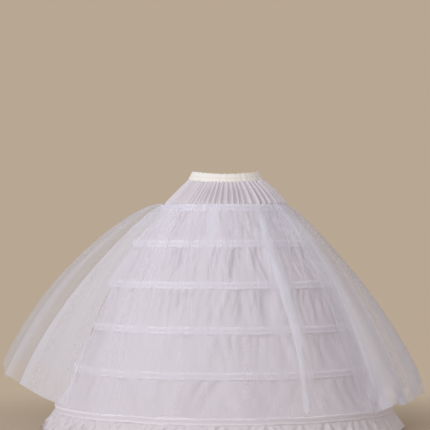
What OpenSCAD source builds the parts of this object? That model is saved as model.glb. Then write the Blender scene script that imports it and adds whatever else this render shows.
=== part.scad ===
// Hooped petticoat: an elastic waistband carries a gathered yoke, and under it five gathered cloth tiers
// hang six sprung-steel hoops in sewn casings. A ruffle finishes the hem and a net overskirt covers it all.
// The origin is on the axis at the middle of the waistband, +Z is up and -Y is the front.

/* [Waist] */
// Inside diameter of the waistband
waist_d = 230; // [180:1:280]
// Height of the waistband
waist_h = 30; // [20:1:50]
// Thickness of the doubled elastic band
waist_t = 4; // [3.4:0.1:6]

/* [Hoop diameters] */
// Hoop 1, at the middle of its steel
hoop_1_d = 416; // [340:1:480]
// Hoop 2
hoop_2_d = 602; // [520:1:660]
// Hoop 3
hoop_3_d = 764; // [690:1:810]
// Hoop 4
hoop_4_d = 864; // [800:1:910]
// Hoop 5
hoop_5_d = 992; // [900:1:1050]
// Hoop 6
hoop_6_d = 1120; // [1020:1:1200]

/* [Tier heights] */
// From the middle of the waistband down to hoop 1
yoke_drop = 107; // [85:1:130]
// From hoop 1 down to hoop 2
tier_1_drop = 117; // [90:1:150]
// From hoop 2 down to hoop 3
tier_2_drop = 132; // [100:1:160]
// From hoop 3 down to hoop 4
tier_3_drop = 140; // [110:1:170]
// From hoop 4 down to hoop 5
tier_4_drop = 138; // [110:1:170]
// From hoop 5 down to hoop 6
tier_5_drop = 133; // [105:1:160]
// From hoop 6 down to the hem
ruffle_drop = 70; // [50:1:100]

/* [Hoop steel] */
// Width of the coated steel strip
steel_w = 6; // [4:0.5:10]
// Thickness of the coated steel strip
steel_t = 1; // [0.8:0.1:2]
// Gap between the two ends of a strip
steel_gap = 4; // [1:1:10]
// Length of the crimp sleeve over the two ends
sleeve_l = 50; // [30:1:80]
// Wall of the crimp sleeve
sleeve_wall = 0.5; // [0.4:0.1:1]
// Clearance between strip and sleeve
sleeve_clear = 0.15; // [0.1:0.05:0.3]

/* [Casings] */
// Height of a casing
casing_h = 24; // [18:1:32]
// Thickness of the casing tape
tape_t = 1; // [0.8:0.1:1.5]
// Clearance between sleeve and tape
tunnel_clear = 0.3; // [0.2:0.05:0.6]
// Length of the slit for threading the steel, inside at the back
slit_l = 34; // [20:1:60]
// Height of that slit
slit_h = 5; // [3:0.5:7]

/* [Cloth] */
// Thickness of the tier cloth
cloth_t = 0.8; // [0.6:0.1:1]
// Depth of the gathers where the cloth is sewn in, either way
rim_gather = 1; // [0.5:0.1:1.2]
// Depth of the gathers on the tiers, either way
tier_gather = 7; // [3:0.5:10]
// Depth of the gathers on the yoke, either way
yoke_gather = 5; // [2:0.5:8]
// Seam allowance of a casing edge past the gathered cloth
edge_margin = 0.2; // [0.1:0.05:0.5]

/* [Gathers] */
// Folds round the yoke
yoke_folds = 48; // [32:1:60]
// Folds round the two upper tiers
upper_folds = 56; // [40:1:64]
// Folds round the middle tier
middle_folds = 40; // [30:1:50]
// Folds round the two lower tiers
lower_folds = 34; // [26:1:42]
// Folds round the hem ruffle
ruffle_folds = 70; // [50:1:80]

/* [Hem ruffle] */
// Diameter of the hem, at the middle of its folds
hem_d = 1206; // [1140:1:1280]
// Depth of the ruffle's folds at the hem, either way
ruffle_gather = 13; // [6:1:20]

/* [Net overskirt] */
// Cut length of the net, from its seam to its hem
net_l = 780; // [700:1:800]
// Thickness of the net
net_t = 0.8; // [0.6:0.1:1]
// Height of the seam that lies on the first casing
net_seam_h = 8; // [5:1:12]
// Gap between the seam and the casing
net_seat = 0.3; // [0.2:0.05:0.4]
// Slope of the net below the horizontal where it leaves the seam
net_start_angle = 45; // [40:1:50]
// Slope of the net at its hem
net_end_angle = 72; // [65:1:75]
// How much less the net slopes just below the seam, where its gathers stand up
net_puff_angle = 7; // [4:1:10]
// How much less it slopes there on the left side
left_puff_angle = 11; // [4:1:13]
// How much less the left side slopes at the seam, where it stands out most
left_start_angle = 18.5; // [0:0.5:20]
// How much less the left side slopes at its hem
left_end_angle = 5.5; // [0:0.5:8]
// How much less the right side slopes at the seam
right_start_angle = 1; // [0:0.5:8]
// How much less the right side slopes at its hem
right_end_angle = 4; // [0:0.5:8]
// How much more the last of the net slopes at the right, where its hem turns in
right_curl_angle = 16; // [0:1:20]
// Share of their listed lift that the net's folds have
net_fold_share = 1; // [0.5:0.05:1.2]
// Least room between the net and the casings below
net_room = 15; // [12:1:25]

/* [Hidden] */
$fn = 96;

hoop_count = 6;
hoop_r = [hoop_1_d, hoop_2_d, hoop_3_d, hoop_4_d, hoop_5_d, hoop_6_d] / 2;
spans = [yoke_drop, tier_1_drop, tier_2_drop, tier_3_drop, tier_4_drop, tier_5_drop];
hoop_z = [for (i = [0 : hoop_count - 1]) -sum_to(spans, i)];
cage = [for (i = [0 : hoop_count - 1]) [hoop_r[i], hoop_z[i]]];
hem_z = hoop_z[hoop_count - 1] - ruffle_drop;
tier_folds = [upper_folds, upper_folds, middle_folds, lower_folds, lower_folds];

// Sections of sleeve and casing, each grown from the strip inside it
sleeve_bore_t = steel_t + 2 * sleeve_clear;
sleeve_bore_w = steel_w + 2 * sleeve_clear;
sleeve_t = sleeve_bore_t + 2 * sleeve_wall;
sleeve_w = sleeve_bore_w + 2 * sleeve_wall;
tunnel_t = sleeve_t + 2 * tunnel_clear;
tunnel_h = sleeve_w + 2 * tunnel_clear;
casing_t = tunnel_t + 2 * tape_t;
edge_t = cloth_t + 2 * (rim_gather + edge_margin);

// The front of the petticoat, and its back, where the steels join
front_angle = 270;
back_angle = 90;

// A fold is one point out and one point in, at least this share of its full depth
fold_points = 2;
least_fold = 0.5;
// Share of a tier's drop at which its gathers stand out most, and of the yoke's and the ruffle's
tier_crest = 0.3;
yoke_crest = 0.55;
ruffle_crest = 0.45;
ruffle_crest_depth = 0.6;
// Seeds of the uneven gathers, one for each piece of cloth
yoke_seed = 11;
tier_seed = 20;
ruffle_seed = 31;

// Points round the net, and the steps in which it falls below its seam
net_points = 120;
net_steps = 6;
net_step = net_l / net_steps;
// How soon the net bends down
net_bend = 1.15;
// Share of its lift that a fold has at the seam, and share of the length at which it has all of it
fold_start = 0.55;
fold_full = 0.5;
// Where the sides stand out and the hem turns in: degrees from the front to the right, and half width
left_spread = [-92, 41];
right_spread = [92, 36];
hem_curl = [88, 13];
// The net's big folds: degrees from the front to the right, half width and lift, with their mean lift
net_folds = [[-104, 9, 5.5], [-66, 7, 5], [-48, 5, 1.5], [-33, 5, 2], [-15, 6, 2.5], [5, 5, 1.5],
             [26, 4, 5.5], [44, 5, 1.5], [59, 5, 3], [76, 6, 6], [100, 10, 6.5], [124, 7, 4],
             [143, 6, 3], [162, 7, 4.5], [-176, 6, 3], [-157, 7, 4], [-138, 6, 3.5], [-121, 6, 3]];
mean_lift = 1.2;
// How sharply the sides and the folds end at their half width
spread_power = 4;
fold_power = 2;
seam_r = hoop_r[0] + casing_t / 2 + net_seat + net_t / 2;
seam_z = hoop_z[0] + casing_h / 2 - net_seam_h;

function lerp(a, b, t) = a + (b - a) * t;
function sum_to(list, i) = i < 0 ? 0 : list[i] + sum_to(list, i - 1);
function arc_angle(length, r) = length / r * 180 / PI;
function unit(v) = v / norm(v);

// Sizes of a row of uneven folds, the odd ones turned inwards
function uneven(folds, seed) =
    let (n = folds * fold_points, size = rands(least_fold, 1, n, seed))
    [for (k = [0 : n - 1]) k % fold_points == 0 ? size[k] : -size[k]];

// A level ring of folded cloth
function folded_ring(r, z, depth, sizes) =
    let (n = len(sizes))
    [for (k = [0 : n - 1])
        let (a = 360 * k / n, out = r + depth * sizes[k])
        [out * cos(a), out * sin(a), z]];

// A ring moved outwards from the axis
function moved_out(ring, d) =
    [for (p = ring) let (q = norm([p.x, p.y]), s = (q + d) / q) [p.x * s, p.y * s, p.z]];

// A closed wall between outer and inner rings that run from top to bottom
module wall(outer, inner) {
    m = len(outer);
    n = len(outer[0]);
    inside = m * n;
    last = (m - 1) * n;
    sides = [for (j = [0 : m - 2], k = [0 : n - 1])
        let (a = j * n + k, b = j * n + (k + 1) % n, c = b + n, d = a + n)
        each [[a, b, c], [a, c, d],
              [inside + a, inside + c, inside + b], [inside + a, inside + d, inside + c]]];
    rims = [for (k = [0 : n - 1])
        let (a = k, b = (k + 1) % n, c = last + a, d = last + b)
        each [[b, a, inside + a], [b, inside + a, inside + b],
              [c, d, inside + d], [c, inside + d, inside + c]]];
    polyhedron(points = [for (ring = concat(outer, inner)) each ring], faces = concat(sides, rims));
}

// Cloth through rings that run from top to bottom
module cloth_wall(rings) {
    wall([for (ring = rings) moved_out(ring, cloth_t / 2)],
         [for (ring = rings) moved_out(ring, -cloth_t / 2)]);
}

// Cloth gathered flat into a seam at both ends, with its folds deepest at the crest
module gathered_tier(top_r, top_z, low_r, low_z, crest, depth, folds, seed) {
    sizes = uneven(folds, seed);
    cloth_wall([
        folded_ring(top_r, top_z, rim_gather, sizes),
        folded_ring(lerp(top_r, low_r, crest), lerp(top_z, low_z, crest), depth, sizes),
        folded_ring(low_r, low_z, rim_gather, sizes)
    ]);
}

module waistband() {
    color("ghostwhite")
    translate([0, 0, -waist_h / 2])
    difference() {
        cylinder(d = waist_d + 2 * waist_t, h = waist_h);
        translate([0, 0, -waist_h / 2]) cylinder(d = waist_d, h = 2 * waist_h);
    }
}

module yoke() {
    color("white")
    gathered_tier((waist_d + waist_t) / 2, -waist_h / 2, hoop_r[0], hoop_z[0] + casing_h / 2,
                  yoke_crest, yoke_gather, yoke_folds, yoke_seed);
}

// Tier i hangs from casing i down to casing i + 1
module tier(i) {
    color("lavender")
    gathered_tier(hoop_r[i - 1], hoop_z[i - 1] - casing_h / 2, hoop_r[i], hoop_z[i] + casing_h / 2,
                  tier_crest, tier_gather, tier_folds[i - 1], tier_seed + i);
}

module hem_ruffle() {
    sizes = uneven(ruffle_folds, ruffle_seed);
    top_r = hoop_r[hoop_count - 1];
    top_z = hoop_z[hoop_count - 1] - casing_h / 2;
    color("lavender")
    cloth_wall([
        folded_ring(top_r, top_z, rim_gather, sizes),
        folded_ring(lerp(top_r, hem_d / 2, ruffle_crest), lerp(top_z, hem_z, ruffle_crest),
                    ruffle_gather * ruffle_crest_depth, sizes),
        folded_ring(hem_d / 2, hem_z, ruffle_gather, sizes)
    ]);
}

// A tape folded round the steel: thick at the tunnel, thin at the two sewn edges
module casing_section() {
    swell = tunnel_h / 2 + tape_t;
    difference() {
        polygon([[edge_t / 2, casing_h / 2], [casing_t / 2, swell], [casing_t / 2, -swell],
                 [edge_t / 2, -casing_h / 2], [-edge_t / 2, -casing_h / 2], [-casing_t / 2, -swell],
                 [-casing_t / 2, swell], [-edge_t / 2, casing_h / 2]]);
        square([tunnel_t, tunnel_h], center = true);
    }
}

module casing(i) {
    r = hoop_r[i - 1];
    color("snow")
    translate([0, 0, hoop_z[i - 1]])
    difference() {
        rotate_extrude() translate([r, 0]) casing_section();
        rotate([0, 0, back_angle]) translate([r - casing_t / 2, 0, 0])
            cube([casing_t, slit_l, slit_h], center = true);
    }
}

module hoop(i) {
    r = hoop_r[i - 1];
    gap = arc_angle(steel_gap, r);
    color("whitesmoke")
    translate([0, 0, hoop_z[i - 1]])
    rotate_extrude(angle = 360 - gap, start = back_angle + gap / 2)
    translate([r, 0]) square([steel_t, steel_w], center = true);
}

module hoop_sleeve(i) {
    r = hoop_r[i - 1];
    span = arc_angle(sleeve_l, r);
    color("silver")
    translate([0, 0, hoop_z[i - 1]])
    rotate_extrude(angle = span, start = back_angle - span / 2)
    translate([r, 0])
    difference() {
        square([sleeve_t, sleeve_w], center = true);
        square([sleeve_bore_t, sleeve_bore_w], center = true);
    }
}

// Radius at height z of a line of points [r, z] that runs down, straight from point to point
function line_r(line, z, i = 0) =
    i >= len(line) - 2 || z >= line[i + 1][1]
        ? lerp(line[i][0], line[i + 1][0], (z - line[i][1]) / (line[i + 1][1] - line[i][1]))
        : line_r(line, z, i + 1);

// A swell round the net: 1 at its place, given from the front to the right, and fading at its half width
function swell(a, place, half, power) =
    let (aside = (a - front_angle - place + 540) % 360 - 180)
    exp(-pow(abs(aside) / half, power));

// Slope of the net below the horizontal at angle a, in one of its steps
function net_slope(a, j) =
    let (s = (j + 0.5) / net_steps,
         left = swell(a, left_spread[0], left_spread[1], spread_power),
         right = swell(a, right_spread[0], right_spread[1], spread_power),
         first = net_start_angle - left_start_angle * left - right_start_angle * right,
         final = net_end_angle - left_end_angle * left - right_end_angle * right,
         lifts = [for (f = net_folds) f[2] * swell(a, f[0], f[1], fold_power)],
         lift = net_fold_share * (sum_to(lifts, len(lifts) - 1) - mean_lift),
         puff = j == 0 ? lerp(net_puff_angle, left_puff_angle, left) : 0,
         curl = j == net_steps - 1 ? right_curl_angle * swell(a, hem_curl[0], hem_curl[1], fold_power) : 0,
         bent = 1 - pow(1 - s, net_bend),
         grown = lerp(fold_start, 1, min(1, s / fold_full)))
    lerp(first, final, bent) - lift * grown - puff + curl;

// A line of the net at angle a from seam to hem, as points [r, z]
function net_line(a, j = 0, p = [seam_r, seam_z]) =
    j == net_steps ? [p] :
        let (m = net_slope(a, j))
        concat([p], net_line(a, j + 1, p + net_step * [cos(m), -sin(m)]));

// How far a line has to move out to clear the cage, at each hoop that it passes and at each of its points
function net_push(line) =
    let (clear = casing_t / 2 + net_seat + net_t / 2 + net_room)
    max([0,
         for (i = [1 : hoop_count - 1]) if (hoop_z[i] > line[net_steps][1])
             hoop_r[i] + clear - line_r(line, hoop_z[i]),
         for (j = [1 : net_steps]) line_r(cage, line[j][1]) + clear - line[j][0]]);

// Which way a line runs at its point i, between the steps before and after
function heading(line, i) =
    (i > 0 ? unit(line[i] - line[i - 1]) : [0, 0]) +
    (i < len(line) - 1 ? unit(line[i + 1] - line[i]) : [0, 0]);

// One face of the net, d out from the middle of its thickness, as rings from the top down
function net_face(lines, d) =
    [for (i = [0 : len(lines[0]) - 1])
        [for (k = [0 : net_points - 1])
            let (way = heading(lines[k], i),
                 p = lines[k][i] + d * unit([-way[1], way[0]]),
                 a = 360 * k / net_points)
            [p[0] * cos(a), p[0] * sin(a), p[1]]]];

module net_overskirt() {
    lines = [for (k = [0 : net_points - 1])
        let (line = net_line(360 * k / net_points), push = net_push(line))
        [[seam_r, seam_z + net_seam_h], for (j = [0 : net_steps]) line[j] + [push * min(1, j), 0]]];
    color("white", 0.5)
    wall(net_face(lines, net_t / 2), net_face(lines, -net_t / 2));
}

waistband();
yoke();
for (i = [1 : hoop_count - 1]) {
    tier(i);
}
hem_ruffle();
for (i = [1 : hoop_count]) {
    casing(i);
    hoop(i);
    hoop_sleeve(i);
}
net_overskirt();
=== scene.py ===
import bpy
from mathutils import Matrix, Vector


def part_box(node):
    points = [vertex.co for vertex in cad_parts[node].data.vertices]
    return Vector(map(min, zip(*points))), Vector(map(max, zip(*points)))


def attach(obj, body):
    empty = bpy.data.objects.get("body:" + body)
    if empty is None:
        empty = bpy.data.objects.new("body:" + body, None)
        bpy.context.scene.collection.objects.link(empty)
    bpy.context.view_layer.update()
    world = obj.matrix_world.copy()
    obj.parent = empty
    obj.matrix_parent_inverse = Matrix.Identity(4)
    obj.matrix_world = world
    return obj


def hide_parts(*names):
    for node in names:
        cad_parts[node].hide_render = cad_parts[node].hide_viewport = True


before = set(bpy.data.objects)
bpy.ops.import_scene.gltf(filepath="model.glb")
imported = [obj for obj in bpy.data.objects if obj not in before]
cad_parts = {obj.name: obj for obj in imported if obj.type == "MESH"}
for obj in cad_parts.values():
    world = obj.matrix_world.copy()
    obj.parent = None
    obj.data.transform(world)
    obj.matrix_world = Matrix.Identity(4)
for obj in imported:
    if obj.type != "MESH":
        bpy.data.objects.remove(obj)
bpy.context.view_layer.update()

import math
from collections import namedtuple

import bpy
import numpy as np
from mathutils import Matrix, Vector

bl_info = {
    "name": "Hooped petticoat",
    "version": (1, 0, 0),
    "blender": (4, 5, 0),
    "location": "View3D > Sidebar > Petticoat",
    "description": "Dresses a cage of hoops in gathered tiers, casings, a hem ruffle and a net overskirt",
    "category": "Object",
}

# A full turn, in radians
TURN = 2 * math.pi
# Number of hoops, and the thickness of their steel strip in metres
HOOP_COUNT = 6
STEEL_T = 0.001


def box_size(node):
    """Radius, bottom and top of a round CAD node."""
    low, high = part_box(node)
    return (high[0] - low[0]) / 2, low[2], high[2]


# Sizes that the frame gives, in metres. A hoop's radius is that of the middle of its strip
WAIST_R, WAIST_LOW, WAIST_TOP = box_size("waistband")
HOOP_R = [box_size(f"hoop_{i}")[0] - STEEL_T / 2 for i in range(1, HOOP_COUNT + 1)]
CASING = [box_size(f"casing_{i}") for i in range(1, HOOP_COUNT + 1)]
HEM_R, HEM_Z, _ = box_size("hem_ruffle")

# What the photograph gives: its width in pixels, the scale and the place of the axis, horizon and waist
PICTURE_PX = 430
MM_PER_PX = 3.35
AXIS_PX = 223.75
HORIZON_PX = 243.0
WAIST_PX = 177.0
# Distance of the camera in metres
CAMERA_AWAY = 6.2


def linear(hex_colour):
    """An sRGB hex colour as linear red, green and blue."""
    parts = [int(hex_colour[i:i + 2], 16) / 255 for i in (1, 3, 5)]
    return [c / 12.92 if c <= 0.04045 else ((c + 0.055) / 1.055) ** 2.4 for c in parts]


class PetticoatSizes(bpy.types.PropertyGroup):
    """Sizes of the cloth that dresses the cage."""

    cloth_t: bpy.props.FloatProperty(
        name="Cloth thickness", description="Thickness of the tier cloth",
        default=0.0006, min=0.0002, max=0.002, unit="LENGTH")
    waist_saddle: bpy.props.FloatProperty(
        name="Waist saddle",
        description="How far the waistband dips in front and behind and rises at the sides",
        default=0.0055, min=0, max=0.01, unit="LENGTH")
    waist_flare: bpy.props.FloatProperty(
        name="Waist flare",
        description="How much wider the waistband is at its lower edge than at its top, in radius",
        default=0.016, min=0, max=0.02, unit="LENGTH")
    waist_aside: bpy.props.FloatProperty(
        name="Waist aside", description="How far the waist sits to the right of the hoops' axis",
        default=0.006, min=0, max=0.01, unit="LENGTH")
    waist_slip: bpy.props.FloatProperty(
        name="Waist slip", description="How far the waistband has slipped down",
        default=0.003, min=0, max=0.01, unit="LENGTH")
    yoke_gather: bpy.props.FloatProperty(
        name="Yoke pleats", description="Depth of the pleats on the yoke, either way",
        default=0.011, min=0, max=0.014, unit="LENGTH")
    yoke_folds: bpy.props.IntProperty(
        name="Yoke folds", description="Pleats round the yoke", default=64, min=20, max=80)
    tier_gather: bpy.props.FloatProperty(
        name="Tier gathers", description="Depth of the gathers under a casing, either way",
        default=0.008, min=0, max=0.012, unit="LENGTH")
    tier_sag: bpy.props.FloatProperty(
        name="Tier sag", description="How far a tier hangs inside the straight line between its hoops",
        default=0.006, min=0, max=0.02, unit="LENGTH")
    ruffle_gather: bpy.props.FloatProperty(
        name="Ruffle folds", description="Depth of the ruffle's folds at the hem, either way",
        default=0.011, min=0, max=0.02, unit="LENGTH")
    net_length: bpy.props.FloatProperty(
        name="Net length", description="Cut length of the net from seam to hem",
        default=0.78, min=0.6, max=0.9, unit="LENGTH")


class PetticoatColours(bpy.types.PropertyGroup):
    """Colours of the cloth and the stage."""

    cloth: bpy.props.FloatVectorProperty(
        name="Cloth", description="Tiers, yoke and ruffle", subtype="COLOR", size=3,
        default=linear("#D6CFD6"))
    tape: bpy.props.FloatVectorProperty(
        name="Casing tape", description="Tapes that carry the hoops", subtype="COLOR", size=3,
        default=linear("#E9E5EE"))
    elastic: bpy.props.FloatVectorProperty(
        name="Waist elastic", description="Waistband", subtype="COLOR", size=3,
        default=linear("#E9E4E0"))
    net: bpy.props.FloatVectorProperty(
        name="Net", description="Overskirt", subtype="COLOR", size=3,
        default=linear("#DCDBE3"))
    net_cover: bpy.props.FloatProperty(
        name="Net cover", description="Share of the view that one layer of net covers",
        default=0.32, min=0.1, max=0.9, subtype="FACTOR")
    backdrop: bpy.props.FloatVectorProperty(
        name="Backdrop", description="Floor and background", subtype="COLOR", size=3,
        default=linear("#B8A793"))


# Curves that the folds are made of

# Seeds of the random folds, for the tiers and casings that of the first
SEEDS = {"waistband": 3, "yoke": 5, "tiers": 20, "ruffle": 41, "casings": 60, "net": 77}
# About the mean of a cosine, and of a sum of waves, once their troughs are folded up
FOLDED_COSINE = 0.64
FOLDED_WAVES = 0.6
# Furthest that a crease slants down the cloth, in waves either way
CREASE_SLANT = 1.6


def wave_sum(u, low, high, count, rng):
    """A sum of cosines round the skirt, mostly from -1 to 1, each with low to high whole waves."""
    total = np.zeros_like(u)
    for _ in range(count):
        total += np.cos(TURN * (rng.integers(low, high + 1) * u + rng.random()))
    return total / math.sqrt(count)


def gathers(u, low, high, count, rng):
    """Gathers with sharp valleys and round crests: a sum of waves with its troughs folded up."""
    return np.abs(wave_sum(u, low, high, count, rng)) - FOLDED_WAVES


def creases(u, s, low, high, count, rng):
    """Sharp creases that run down the cloth at a slant: a sum of folded cosines, mostly from -1 to 1."""
    total = 0 * u * s
    for _ in range(count):
        waves = rng.integers(low, high + 1)
        slant = rng.uniform(-CREASE_SLANT, CREASE_SLANT)
        start = rng.random()
        total = total + np.abs(np.cos(math.pi * (waves * u + slant * s + start))) - FOLDED_COSINE
    return 2 * total / math.sqrt(count)


def smooth_step(low, high, x):
    """Rises smoothly from 0 at low to 1 at high."""
    t = np.clip((x - low) / (high - low), 0, 1)
    return t * t * (3 - 2 * t)


def between(start, end, share):
    """The value that lies this share of the way from start to end."""
    return start + (end - start) * share


def bell(gap, width, power=2):
    """1 in the middle of a place, falling off at its half width. A higher power has a flatter top."""
    return np.exp(-(gap / width) ** power)


def squared(wave, power):
    """A sine or cosine with flatter crests, which give a section flat sides and round corners."""
    return np.sign(wave) * np.abs(wave) ** power


# Mesh helpers

# How much closer than even a mesh's columns lie in front, as a share
FRONT_CROWDING = 0.4


def deselect():
    """Leaves nothing selected, so that an operator meets only the new piece."""
    bpy.ops.object.select_all(action="DESELECT")


def spread(even):
    """Moves even places round the skirt closer together in front, where the eye falls, than behind."""
    return even - FRONT_CROWDING / TURN * np.sin(TURN * (even - 0.5))


def round_angle(u):
    """Angle round from the front to the viewer's right, in radians, of a place u."""
    return TURN * (u - 0.5)


def ring_points(r, angle, z):
    """Points at radius r, angle round from the front to the viewer's right, and height z."""
    r, angle, z = np.broadcast_arrays(r, angle, z)
    return np.stack([r * np.sin(angle), -r * np.cos(angle), z], axis=-1)


def strip_size(fullness, top_r, top_z, low_r, low_z):
    """Cut width and length of a strip between two rings, fullness times as wide as their mean way round."""
    return fullness * TURN * (top_r + low_r) / 2, math.hypot(low_r - top_r, low_z - top_z)


def round_cloth(name, place, flat, around, down, tube=False, mark=None):
    """A piece of cloth that goes right round the skirt. It starts as a flat grid, which place(u, s) hangs:
    u runs round from the back seam through the left, front and right, and s runs down, or once round the
    section of a tube. flat is the cloth's cut width and length, in which its UV map is laid out. Where a mark
    is named, place also gives its level at each point, which the material reads as an attribute."""
    deselect()
    bpy.ops.mesh.primitive_grid_add(x_subdivisions=around, y_subdivisions=down, size=2, calc_uvs=True)
    piece = bpy.context.object
    piece.name = piece.data.name = name
    mesh = piece.data
    flat_co = np.empty(len(mesh.vertices) * 3)
    mesh.vertices.foreach_get("co", flat_co)
    flat_co = flat_co.reshape(-1, 3)
    column = np.rint((flat_co[:, 0] + 1) / 2 * around).astype(int)
    row = np.rint((1 - flat_co[:, 1]) / 2 * down).astype(int)
    u = spread(np.linspace(0, 1, around + 1))[None, :]
    s = np.linspace(0, 1, down + 1)[:, None]
    hung = place(u, s)
    if mark:
        hung, level = hung
        layer = mesh.attributes.new(mark, "FLOAT", "POINT")
        layer.data.foreach_set("value", np.broadcast_to(level, hung.shape[:2])[row, column])
    # The cloth meets itself at the back seam, and a tube's section closes
    hung[:, -1] = hung[:, 0]
    if tube:
        hung[-1] = hung[0]
    mesh.vertices.foreach_set("co", hung[row, column].ravel())
    lay_uv(mesh, hung, flat)
    mesh.update()
    close_seam(piece)
    bpy.ops.object.shade_smooth()
    return piece


def lay_uv(mesh, hung, flat):
    """Lays out the UV map in the cloth's cut size. Round the skirt it follows the cloth's own length,
    measured along a row that hangs free."""
    rows, columns = hung.shape[:2]
    length = np.linalg.norm(np.diff(hung[2 * (rows - 1) // 3], axis=0), axis=1)
    share = np.concatenate([[0], np.cumsum(length) / length.sum()])
    uv = np.empty(len(mesh.loops) * 2)
    layer = mesh.uv_layers.active
    layer.uv.foreach_get("vector", uv)
    uv = uv.reshape(-1, 2)
    uv[:, 0] = np.interp(uv[:, 0], np.linspace(0, 1, columns), share)
    layer.uv.foreach_set("vector", (uv * flat).ravel())


def close_seam(piece):
    """Merges the points that meet, such as those along the back seam."""
    bpy.context.view_layer.objects.active = piece
    bpy.ops.object.mode_set(mode="EDIT")
    bpy.ops.mesh.select_all(action="SELECT")
    bpy.ops.mesh.remove_doubles(threshold=1e-6)
    bpy.ops.object.mode_set(mode="OBJECT")


def thicken(piece, thickness):
    """Gives a sheet its thickness, inwards."""
    solid = piece.modifiers.new("Thickness", "SOLIDIFY")
    solid.thickness = thickness
    solid.offset = -1
    bpy.context.view_layer.objects.active = piece
    bpy.ops.object.modifier_apply(modifier=solid.name)


def finish_piece(piece, material, node):
    """Gives a piece its finish, and puts it in place of its CAD node on the one body."""
    piece.data.materials.append(material)
    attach(piece, "root")
    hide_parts(node)


# Materials

# The Wave texture draws the sine of this many times its coordinate
WAVE_RATE = 20
# Colour sockets of the Mix node
MIX_A, MIX_B, MIXED = 6, 7, 2


def add_node(tree, kind, inputs=None, **settings):
    """Adds a node. settings are its own properties, and inputs gives its sockets a value or a link."""
    node = tree.nodes.new(kind)
    for key, value in settings.items():
        setattr(node, key, value)
    for key, value in (inputs or {}).items():
        if isinstance(value, bpy.types.NodeSocket):
            tree.links.new(value, node.inputs[key])
        else:
            node.inputs[key].default_value = value
    return node


def new_material(name):
    """A material and its empty node tree. Pieces of one cloth share one material."""
    material = bpy.data.materials.get(name) or bpy.data.materials.new(name)
    material.use_nodes = True
    material.node_tree.nodes.clear()
    return material, material.node_tree


def stripes(spacing_mm):
    """Scale at which the Wave texture's bands lie this many millimetres apart."""
    return TURN / (WAVE_RATE * spacing_mm / 1000)


def grains(width_mm):
    """Scale at which a texture's grains or cells are this many millimetres wide."""
    return 1000 / width_mm


def shade(colour, factor=1):
    """A colour made lighter or darker, with alpha 1."""
    return (*(c * factor for c in colour), 1)


def tones(colour, dark, light):
    """The two colours that a Mix node goes between: a darker and a lighter shade of one."""
    return {MIX_A: shade(colour, dark), MIX_B: shade(colour, light)}


def taffeta(colour):
    """Polyester taffeta, woven plain and pressed: smooth and matt, with faint slubs along its threads and a
    little sheen on the folds. Threads lie 0.2 mm apart, drawn 1.6 mm apart so that they show at all. Slubs
    are two or three threads wide, drawn 5.56 mm wide for the same reason."""
    material, tree = new_material("White polyester taffeta")
    cloth = add_node(tree, "ShaderNodeTexCoord").outputs["UV"]
    warp, weft = (add_node(tree, "ShaderNodeTexWave", {
        "Vector": cloth, "Scale": stripes(1.6), "Distortion": 0.6}, bands_direction=way) for way in "XY")
    weave = add_node(tree, "ShaderNodeMath", {
        0: warp.outputs["Fac"], 1: weft.outputs["Fac"]}, operation="MULTIPLY")
    long_slubs = add_node(tree, "ShaderNodeMapping", {
        "Vector": cloth, "Scale": (grains(5.56), grains(71.4), 1)})
    slubs = add_node(tree, "ShaderNodeTexNoise", {
        "Vector": long_slubs.outputs["Vector"], "Scale": 1.0, "Detail": 3.0})
    tone = add_node(tree, "ShaderNodeMix", {
        "Factor": slubs.outputs["Fac"], **tones(colour, 0.93, 1.05)}, data_type="RGBA")
    rough = add_node(tree, "ShaderNodeMapRange", {
        "Value": slubs.outputs["Fac"], "To Min": 0.62, "To Max": 0.8})
    bump = add_node(tree, "ShaderNodeBump", {
        "Height": weave.outputs["Value"], "Strength": 0.25, "Distance": 0.0002})
    shader = add_node(tree, "ShaderNodeBsdfPrincipled", {
        "Base Color": tone.outputs[MIXED], "Roughness": rough.outputs["Result"],
        "Normal": bump.outputs["Normal"], "Specular IOR Level": 0.3,
        "Sheen Weight": 0.15, "Sheen Roughness": 0.4})
    add_node(tree, "ShaderNodeOutputMaterial", {"Surface": shader.outputs["BSDF"]})
    return material


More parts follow.
